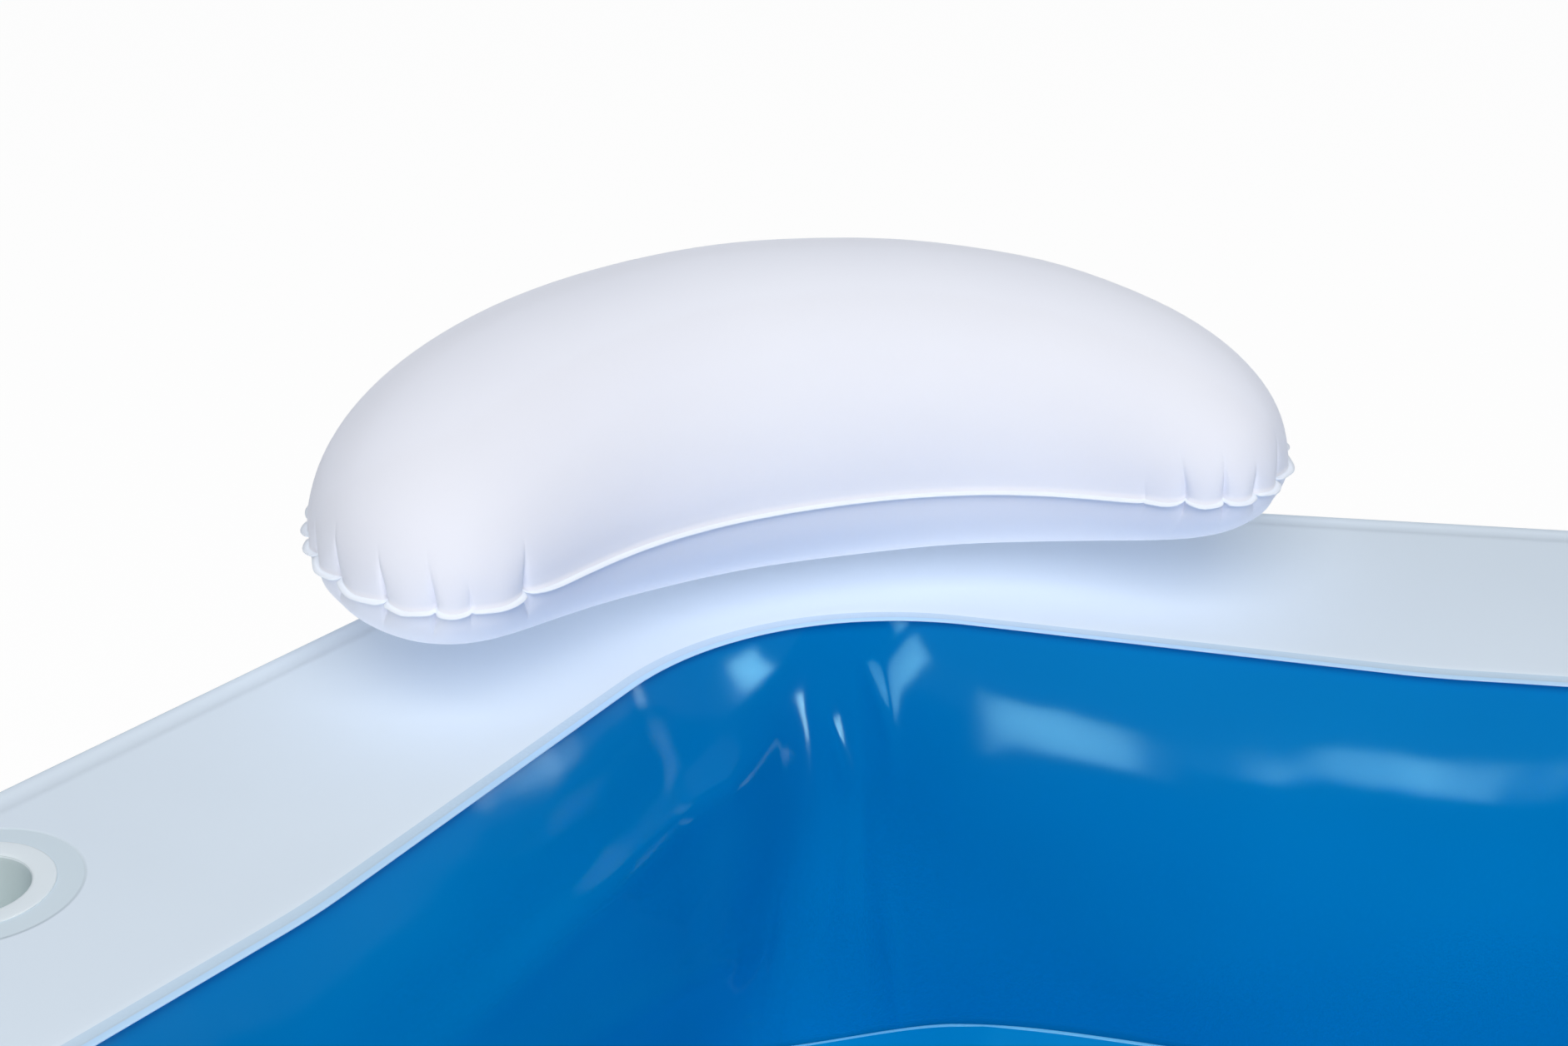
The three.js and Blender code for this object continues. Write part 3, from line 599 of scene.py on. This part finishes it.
# The drain's flange is welded down flat.
drain_gap = np.hypot(points[..., 0] - drain_place[0], points[..., 1] - drain_place[1])
wrinkles *= np.clip((drain_gap - drain_flange_radius) / 0.09, 0, 1) ** 2
points[:, :from_slope, 2] += wrinkles[:, :from_slope]
middle_height = points[:, 0, 2].mean()
print("creases up to", round(wrinkles[:, :from_slope].max() * 1000, 1), "mm")

# %% The floor's mesh
rows, columns = points.shape[:2]
crest_column = len(hub_steps) + len(before_crest) - 1
# The strip along the crest gets the light blue film: a painted highlight.
strip_films = [int(column == crest_column - 1) for column in range(columns - 1)]
faces = grid_faces(rows, columns, looped=True)
hub = rows * columns
faces += [(((row + 1) % rows) * columns, row * columns, hub) for row in range(rows)]
numbers = strip_films * rows + [0] * rows
all_points = np.vstack([points.reshape(-1, 3), [[0, 0, middle_height]]])
basin_floor = make_piece("basin_floor", all_points, faces, "pool", [floor_blue_painted_lighter, crest_painted_highlight],
                         numbers)
normals_up = sum(face.normal.z for face in basin_floor.data.polygons) > 0
if not normals_up:
    basin_floor.data.flip_normals()
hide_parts("floor_sheet")
thicken(basin_floor)
print("floor:", rows, "by", columns, "normals up:", normals_up)

# %% [markdown]
# ## Headrests
# A headrest is two flat banana-shaped films, welded edge to edge and blown up. Flat film can't
# become round without losing length at its ends, so the weld gathers there into pleats, and
# between two pleats it bows out in a scallop. The photograph shows each of them.
# The outline is an ellipse drawn on a bent sheet of paper: u runs along the bend, v across it.
# Rings shrink from the seam to the middle, and each point's height follows from its ring, so the
# whole cushion is one smooth surface. Its sizes were fitted to the outline in the photograph.
# A cloth simulation would gather the film by itself, but not at the photograph's pleats, and
# its outline would have to be fitted anew. So the pleats are moved into the finished form.

# %% Headrest sizes, in metres
bend_radius = 0.471
half_length, half_width = 0.5, 0.181
seam_height, crown_height, under_depth = 0.106, 0.15, 0.104
crown_power, under_power = 1.87, 2.08
flange_width = 0.0055
rest_height = 0.0039
# How far up the film the drawn-in seam is still felt, sideways and upwards
draw_reach, lift_reach = 0.018, 0.03
left_end = {"curl": -0.0774, "seam_rise": 0.0014}
right_end = {"curl": -0.0994, "seam_rise": 0.009}
headrest_centre = Vector((0.022, 0.9617, rim_height))
headrest_turn = math.radians(-4.03)

# %% [markdown]
# Each pleat is given by its distance along the seam from the tip of its end, how far it draws the
# seam in, and how far up the film its groove runs. They were measured in the photograph where it
# shows them, and guessed round the back.

# %% Pleats: distance from the tip, draw-in, groove length, in metres
left_pleats = ((-0.0831, 0.0060, 0.030), (-0.0334, 0.0028, 0.018), (-0.0058, 0.0050, 0.036),
               (0.0379, 0.0055, 0.032), (0.0957, 0.0065, 0.030), (0.1439, 0.0045, 0.022),
               (0.1781, 0.0050, 0.030), (0.2150, 0.0045, 0.022), (0.2540, 0.0030, 0.020))
right_pleats = ((-0.1700, 0.0030, 0.020), (-0.1330, 0.0045, 0.026), (-0.0931, 0.0060, 0.024),
                (-0.0299, 0.0060, 0.026), (0.0103, 0.0040, 0.020), (0.0405, 0.0055, 0.034),
                (0.0734, 0.0050, 0.030), (0.1050, 0.0015, 0.012))


# %% Places on the bent sheet
def bent(along, across):
    """Plan points of the bent sheet, whose tips curl a little more than the rest."""
    curl = np.where(along < 0, left_end["curl"], right_end["curl"])
    across = across + curl * np.abs(along / half_length) ** 3
    angle = along / bend_radius
    reach = bend_radius + across
    return np.stack([reach * np.sin(angle), reach * np.cos(angle)], -1)


def seam_point(turn):
    """Plan points of the seam, an ellipse on the bent sheet."""
    return bent(half_length * np.sin(turn), half_width * np.cos(turn))


def gap_round(place, spot, total):
    """Signed distance along the closed seam, the short way round."""
    return (place - spot + total / 2) % total - total / 2


# %% Rows packed closely at the pleats
def pleated_rows(shuffle, row_count=640):
    """Each row's turn and place along the seam, the seam's length, and the pleats in order."""
    turn = np.linspace(0, 2 * math.pi, 6001)
    step = np.linalg.norm(np.diff(seam_point(turn), axis=0), axis=1)
    place = np.concatenate([[0], np.cumsum(step)])
    total = place[-1]
    pleats = []
    for tip_turn, listed in ((0.5 * math.pi, right_pleats), (1.5 * math.pi, left_pleats)):
        tip = np.interp(tip_turn, turn, place)
        pleats += [((tip + far + shuffle * random_places.uniform(-1, 1)) % total, pull, length)
                   for far, pull, length in listed]
    pleats.sort()
    crowd = np.ones(len(turn))
    for spot, _, _ in pleats:
        crowd += 6 * np.exp(-(gap_round(place, spot, total) / 0.006) ** 2)
    filled = np.concatenate([[0], np.cumsum(crowd[1:] * step)])
    wanted = np.linspace(0, filled[-1], row_count, endpoint=False)
    return np.interp(wanted, filled, turn), np.interp(wanted, filled, place), total, pleats


# %% Scallops between the pleats
long_gap = 0.08
pleat_reach = 0.011


def scallops(place, total, pleats):
    """How far the seam is drawn in: most at each pleat, least halfway to the next."""
    drawn = np.zeros(len(place))
    for (spot, pull, _), (after, next_pull, _) in zip(pleats, pleats[1:] + pleats[:1]):
        span = (after - spot) % total
        far = (place - spot) % total
        within = far <= span
        share = far[within] / span
        if span < long_gap:
            between = (pull + (next_pull - pull) * share) * (1 - np.sin(math.pi * share)) ** 0.8
        else:
            between = pull * np.exp(-far[within] / pleat_reach) \
                + next_pull * np.exp(-(span - far[within]) / pleat_reach)
        drawn[within] = between
    return drawn


# %% One film of a headrest
def headrest_film(side, turn, place, total, pleats, drawn, ring_count=44):
    """The upper (side 1) or lower (side -1) film as rows of points from the middle to the seam."""
    ring = np.sin(np.linspace(0, math.pi / 2, ring_count))[None, :]
    sine, cosine = np.sin(turn)[:, None], np.cos(turn)[:, None]
    plan = bent(half_length * ring * sine, half_width * ring * cosine)
    reach = np.minimum(np.abs(ring * sine), 1 - 1e-9)
    rise = np.where(sine < 0, left_end["seam_rise"], right_end["seam_rise"]) * reach ** 3
    tall, power = (crown_height, crown_power) if side > 0 else (under_depth, under_power)
    height = tall * np.sqrt(1 - reach ** power) * np.sqrt((1 - ring ** 2) / (1 - reach ** 2))
    points = np.concatenate([plan, (seam_height + rise + side * height)[..., None]], -1)
    links = np.linalg.norm(np.diff(points, axis=1), axis=2)
    up_film = np.concatenate([np.cumsum(links[:, ::-1], axis=1)[:, ::-1],
                              np.zeros((len(turn), 1))], 1)
    outward = outward_at(turn)
    draw_in = drawn[:, None] * np.exp(-(up_film / draw_reach) ** 1.5)
    points[..., :2] -= outward[:, None] * draw_in[..., None]
    points[..., 2] += 0.3 * drawn[:, None] * np.exp(-(up_film / lift_reach) ** 2)
    steep = side * np.sqrt(1 - ring ** 2)[..., None] * np.ones((len(turn), 1, 1))
    face = np.concatenate([outward[:, None] * ring[..., None], steep], -1)
    for spot, pull, length in pleats:
        gap = np.abs(gap_round(place, spot, total))[:, None]
        fade = (0.7 if side > 0 else 0.4) * length
        groove = 1.3 * pull * np.exp(-gap / (0.0014 + 0.03 * up_film))
        points -= face * (groove * np.exp(-(up_film / fade) ** 2))[..., None]
    points[..., 2] += side * 0.001 * (1 - ring ** 6) \
        * waves(points[..., 0], points[..., 1] + points[..., 2], 4, 5, 0.16)
    if side < 0:
        points[..., 2] = np.maximum(points[..., 2], rest_height)
    return points


def outward_at(turn):
    """Directions in plan that point straight out of the seam."""
    ahead = seam_point(turn + 0.001) - seam_point(turn - 0.001)
    out = np.stack([-ahead[:, 1], ahead[:, 0]], 1)
    return out / np.linalg.norm(out, axis=1)[:, None]


# %% The seat of the headrest's valve
# Where the CAD model seats it, and which way it looks out
valve_seat = Vector((0.06262, 1.590697, 0.624824))
valve_out = Vector((0.06157, 0.88055, 0.46994))


def seat_valve(points):
    """Flattens the film round the valve, so that the valve's flange lies on it."""
    seat, out = np.array(valve_seat), np.array(valve_out)
    offset = points - seat
    off_plane = offset @ out
    beside = np.linalg.norm(offset - off_plane[..., None] * out, axis=-1)
    near = np.exp(-(beside / 0.03) ** 4) * (np.abs(off_plane) < 0.06)
    return points - (near * (off_plane + 0.0003))[..., None] * out


# %% One headrest
random_places = np.random.default_rng(8)


def headrest(number, shuffle):
    """The whole cushion: upper film, weld flange and lower film, as one closed skin."""
    turn, place, total, pleats = pleated_rows(shuffle)
    drawn = scallops(place, total, pleats)
    upper = headrest_film(1, turn, place, total, pleats, drawn)
    lower = headrest_film(-1, turn, place, total, pleats, drawn)
    seam_line = (upper[:, -1] + lower[:, -1]) / 2
    flat_out = np.concatenate([outward_at(turn), np.zeros((len(turn), 1))], 1)
    edge_line = seam_line + flat_out * flange_width
    edge_line[:, 2] += 0.001 * np.sin(place / 0.009) * np.clip(drawn / 0.004, 0, 1) - 0.0006
    weld_line = seam_line + flat_out * 0.0012
    up = np.array([0, 0, 1])
    loops = [upper[:, :-1], (seam_line + 0.0006 * up)[:, None], (weld_line + 0.0006 * up)[:, None],
             (edge_line + 0.0004 * up)[:, None], (edge_line - 0.0004 * up)[:, None],
             (weld_line - 0.0005 * up)[:, None], (seam_line - 0.0006 * up)[:, None],
             lower[:, :-1][:, ::-1]]
    points = np.concatenate(loops, 1)
    rows, columns = points.shape[:2]
    seam_column = upper.shape[1] - 1
    # The flange's strips get the lighter seam film, a painted highlight.
    strip_films = [int(seam_column <= column < seam_column + 5) for column in range(columns - 1)]
    to_rim = Matrix.Translation(headrest_centre) @ Matrix.Rotation(headrest_turn, 4, "Z")
    placed = points.reshape(-1, 3) @ np.array(to_rim.to_3x3()).T + np.array(to_rim.translation)
    placed = seat_valve(placed)
    if number == 2:
        placed = placed * np.array([-1, -1, 1])
    piece = make_piece(f"headrest_{number}_cushion", placed, grid_faces(rows, columns, looped=True),
                       f"headrest_{number}", [headrest_vinyl, seam_painted_highlight], strip_films * rows)
    join = piece.modifiers.new("join", "WELD")
    join.merge_threshold = 0.00002
    apply_modifiers(piece)
    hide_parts(f"headrest_{number}_top_panel", f"headrest_{number}_bottom_panel")
    return piece


cushions = [headrest(1, 0), headrest(2, 0.004)]
for cushion in cushions:
    heights = [vertex.co.z for vertex in cushion.data.vertices]
    print(cushion.name, "from", round(min(heights), 4), "to", round(max(heights), 4), "m")

# %% [markdown]
# ## Cup holders
# A cup holder is a moulded well: a flat flange that is welded to the rim, a rounded mouth, and a
# wall that narrows slightly so that the part leaves its mould. A turned profile is all it needs.

# %% Turned pieces
def turned(name, profile, place, axis_frame, body, materials, segments=64):
    """A round piece from a profile of (radius, height), turned about the frame's z axis."""
    angles = np.linspace(0, 2 * math.pi, segments, endpoint=False)
    radius, height = np.array(profile).T
    points = np.stack([np.cos(angles)[:, None] * radius, np.sin(angles)[:, None] * radius,
                       np.ones(segments)[:, None] * height], -1).reshape(-1, 3)
    basis = np.array(axis_frame)
    points = points @ basis + np.array(place)
    faces = grid_faces(segments, len(profile), looped=True)
    piece = make_piece(name, points, faces, body, materials)
    weld = piece.modifiers.new("join", "WELD")
    weld.merge_threshold = 0.00001
    return apply_modifiers(piece)


upright = [(1, 0, 0), (0, 1, 0), (0, 0, 1)]

# %% Cup holder film
cup_vinyl = vinyl("cup_vinyl", linear(210, 221, 230), linear(215, 225, 234), 0.35)
# The well's film is grey-green and darker than the flange: its own tint, painted darker as shade in
# the hollow.
well_tint_and_shade = vinyl("well_tint_and_shade", linear(184, 200, 206), linear(192, 208, 213), 0.4)
for number, side in cup_sides:
    angle = (side - 1) * math.pi / 3
    place = (cup_place * math.cos(angle), cup_place * math.sin(angle), rim_height)
    profile = [(0, -0.1), (0.026, -0.1), (0.0305, -0.0985), (0.0328, -0.0945), (0.0345, -0.05),
               (0.0363, -0.004), (0.0368, -0.001), (0.0378, 0.0008), (0.0395, 0.0013),
               (0.0520, 0.0013), (0.0531, 0.0011), (0.0535, 0.0006), (0.0535, 0.0003),
               (0.0373, 0.0003), (0.0368, -0.003), (0.0338, -0.1002), (0.031, -0.1008),
               (0, -0.1008)]
    cup = turned(f"cup_well_{number}", profile, place, upright, "pool", [cup_vinyl, well_tint_and_shade])
    # Faces down in the well get the darker film: painted shade in the hollow.
    for face in cup.data.polygons:
        face.material_index = 1 if face.center.z < rim_height - 0.0005 else 0
    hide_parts(f"cup_holder_{number}")
print("cup wells at", round(cup_place, 3), "m from the middle")

# %% [markdown]
# The cup's flange presses a shallow ring into the rim around it. It is only a soft grey trace in
# the photograph, so the rim's material draws it as a bump and a greyer colour, which is painted
# shade: the distance from a cup's middle picks the ring.

# %% Ring pressed round each cup, with painted shade
pressed_from, pressed_to = 0.0735, 0.0705
nodes, links = rim_vinyl.node_tree.nodes, rim_vinyl.node_tree.links
shader = nodes["Principled BSDF"]
plain_colour = shader.inputs["Base Color"].links[0].from_socket
plain_normal = shader.inputs["Normal"].links[0].from_socket
place = nodes.new("ShaderNodeTexCoord")
rings = []
for _, side in cup_sides:
    angle = (side - 1) * math.pi / 3
    middle = (cup_place * math.cos(angle), cup_place * math.sin(angle), rim_height)
    gap = nodes.new("ShaderNodeVectorMath")
    gap.operation = "DISTANCE"
    gap.inputs[1].default_value = middle
    links.new(place.outputs["Object"], gap.inputs[0])
    ring = nodes.new("ShaderNodeMapRange")
    ring.interpolation_type = "SMOOTHSTEP"
    ring.inputs["From Min"].default_value = pressed_from
    ring.inputs["From Max"].default_value = pressed_to
    links.new(gap.outputs["Value"], ring.inputs["Value"])
    rings.append(ring.outputs["Result"])
dent_and_shade_mask = nodes.new("ShaderNodeMath")
dent_and_shade_mask.operation = "MAXIMUM"
links.new(rings[0], dent_and_shade_mask.inputs[0])
links.new(rings[1], dent_and_shade_mask.inputs[1])
# The ring's greyer colour is painted shade, for the shade in the dent.
dent_painted_shade = nodes.new("ShaderNodeMix")
dent_painted_shade.data_type = "RGBA"
dent_painted_shade.inputs[7].default_value = linear(199, 214, 226)
links.new(dent_and_shade_mask.outputs[0], dent_painted_shade.inputs[0])
links.new(plain_colour, dent_painted_shade.inputs[6])
links.new(dent_painted_shade.outputs[2], shader.inputs["Base Color"])
press = nodes.new("ShaderNodeBump")
press.invert = True
press.inputs["Distance"].default_value = 0.001
links.new(dent_and_shade_mask.outputs[0], press.inputs["Height"])
links.new(plain_normal, press.inputs["Normal"])
links.new(press.outputs["Normal"], shader.inputs["Normal"])

# %% [markdown]
# ## What stays from the CAD model
# The webs, flaps, valves and patches keep their CAD solids, because their shapes are right. Each
# gets a material of its own: clear film inside the ring, moulded vinyl on the valves, and a
# looped cloth on the patches that hold the headrest down.

# %% Materials of the CAD nodes
clear_vinyl = vinyl("clear_vinyl", linear(200, 214, 224), linear(210, 222, 230), 0.3)
valve_vinyl = vinyl("valve_vinyl", linear(222, 230, 238), linear(230, 237, 243), 0.3)
patch_cloth = vinyl("patch_cloth", linear(226, 229, 233), linear(238, 240, 243), 0.95,
                    cloud=0.004, dent=0.0012, dent_depth=0.0006)
for name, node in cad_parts.items():
    finish = None
    if "web" in name or "bulkhead" in name or "flap" in name:
        finish = clear_vinyl
    elif "valve" in name or "drain" in name:
        finish = valve_vinyl
    elif "patch" in name:
        finish = patch_cloth
    if finish:
        node.data.materials.clear()
        node.data.materials.append(finish)
print("materials:", sorted(material.name for material in bpy.data.materials))

# %% [markdown]
# ## Studio
# The photograph is cut out on white, lit softly from above. The floor and the sky show as white
# to the camera and in reflections, but light the pool only at a plain level, so a colour comes
# out about as it is written. Most of the light comes softly from above and in front. The lamps
# without shadow fill it in from all round, as open sky and pale ground would.

# %% Sky and floor
sky_strength = 0.32
floor_white_share = 0.96
floor_size = 60
world = bpy.data.worlds.new("studio")
bpy.context.scene.world = world
world.use_nodes = True


def seen_directly(nodes, links):
    """1 for what the camera sees, straight or by reflection or through film, and 0 for light."""
    path = nodes.new("ShaderNodeLightPath")
    first = nodes.new("ShaderNodeMath")
    first.operation = "MAXIMUM"
    links.new(path.outputs["Is Camera Ray"], first.inputs[0])
    links.new(path.outputs["Is Glossy Ray"], first.inputs[1])
    second = nodes.new("ShaderNodeMath")
    second.operation = "MAXIMUM"
    links.new(first.outputs[0], second.inputs[0])
    links.new(path.outputs["Is Transmission Ray"], second.inputs[1])
    return second.outputs[0]


nodes, links = world.node_tree.nodes, world.node_tree.links
nodes.clear()
light = nodes.new("ShaderNodeBackground")
light.inputs["Color"].default_value = (0.93, 0.96, 1, 1)
light.inputs["Strength"].default_value = sky_strength
white = nodes.new("ShaderNodeBackground")
white.inputs["Color"].default_value = (1, 1, 1, 1)
mix = nodes.new("ShaderNodeMixShader")
output = nodes.new("ShaderNodeOutputWorld")
links.new(seen_directly(nodes, links), mix.inputs["Fac"])
links.new(light.outputs[0], mix.inputs[1])
links.new(white.outputs[0], mix.inputs[2])
links.new(mix.outputs[0], output.inputs["Surface"])

floor_paint = bpy.data.materials.new("floor_paint")
floor_paint.use_nodes = True
nodes, links = floor_paint.node_tree.nodes, floor_paint.node_tree.links
shader = nodes["Principled BSDF"]
shader.inputs["Base Color"].default_value = (0.94, 0.95, 0.96, 1)
shader.inputs["Roughness"].default_value = 0.9
glow = nodes.new("ShaderNodeEmission")
glow.inputs["Color"].default_value = (1, 1, 1, 1)
share = nodes.new("ShaderNodeMath")
share.operation = "MULTIPLY"
share.inputs[1].default_value = floor_white_share
links.new(seen_directly(nodes, links), share.inputs[0])
mix = nodes.new("ShaderNodeMixShader")
links.new(share.outputs[0], mix.inputs["Fac"])
links.new(shader.outputs[0], mix.inputs[1])
links.new(glow.outputs[0], mix.inputs[2])
links.new(mix.outputs[0], nodes["Material Output"].inputs["Surface"])
bpy.ops.mesh.primitive_plane_add(size=floor_size, location=(0, 0, -0.0005))
studio_floor = bpy.context.object
studio_floor.name = "studio_floor"
studio_floor.data.materials.append(floor_paint)


# %% Lamps
def soft_box(name, place, target, size, power, colour=(1, 1, 1), shadow=True):
    """A flat lamp. Without shadow it reaches every face that is turned to it, like open sky."""
    lamp = bpy.data.lights.new(name, "AREA")
    lamp.shape = "RECTANGLE"
    lamp.size, lamp.size_y = size
    lamp.energy = power
    lamp.color = colour
    box = bpy.data.objects.new(name, lamp)
    box.location = place
    box.rotation_euler = (Vector(target) - Vector(place)).to_track_quat("-Z", "Y").to_euler()
    box.visible_glossy = False
    box.visible_transmission = False
    box.visible_camera = False
    lamp.use_shadow = shadow
    bpy.context.scene.collection.objects.link(box)
    return box


key_place = (-0.9, -1.7, 3.9)
soft_box("key_box", key_place, (0.1, 1.0, 0.4), (4, 3), 167, (1, 0.95, 0.88))
soft_box("open_box", key_place, (0.1, 1.0, 0.4), (4, 3), 55, (0.8, 0.89, 1), shadow=False)
soft_box("top_box", (0, 0.5, 5.5), (0, 0.5, 0), (4, 4), 22, (0.85, 0.93, 1), shadow=False)
soft_box("low_box", (-5, -11, 0.4), (0.1, 1.0, 0.5), (8, 3), 150, (1, 0.96, 0.9), shadow=False)
soft_box("floor_box", (-0.5, -0.6, -6), (0, 0.5, 0.5), (6, 6), 275, (1, 0.95, 0.86), shadow=False)

# %% [markdown]
# The pale patches on the blue film are windows mirrored in it. A small lamp with a narrow beam
# stands for each window, and only gloss answers to it, so the white film isn't lit twice. Each
# one stands where a ray from the camera, mirrored at its patch, comes by.

# %% Window lamps
beam = math.radians(42)
window_white = (0.9, 0.82, 0.78)
# A bare area lamp looks a quarter as bright as its power over its area. A narrow beam looks
# brighter straight ahead.
beam_gain = math.tan(beam / 2) / (math.tan(beam / 2) - beam / 2) / 4


def window(name, place, target, size, glow):
    """A window's light, as bright as glow where the lamp is looked at straight on."""
    power = glow * size[0] * size[1] / beam_gain
    box = soft_box(name, place, target, size, power, window_white, shadow=False)
    box.data.spread = beam
    box.visible_glossy = True
    box.visible_diffuse = False


window("window_right", (-0.93, 0.0, 0.46), (0.18, 1.15, 0.38), (0.36, 0.34), 34)
window("window_far_right", (-0.34, -0.4, 0.5), (0.42, 0.97, 0.38), (0.7, 0.22), 31)
window("window_left", (1.92, 0.74, 0.69), (-0.24, 1.14, 0.45), (0.14, 0.24), 15)
window("window_corner", (1.37, -0.53, 0.74), (-0.03, 1.25, 0.43), (0.34, 0.42), 50)
window("window_streak", (0.33, 0.84, 0.19), (0.05, 1.24, 0.35), (0.05, 0.16), 62)

bpy.context.scene.view_settings.view_transform = "Standard"
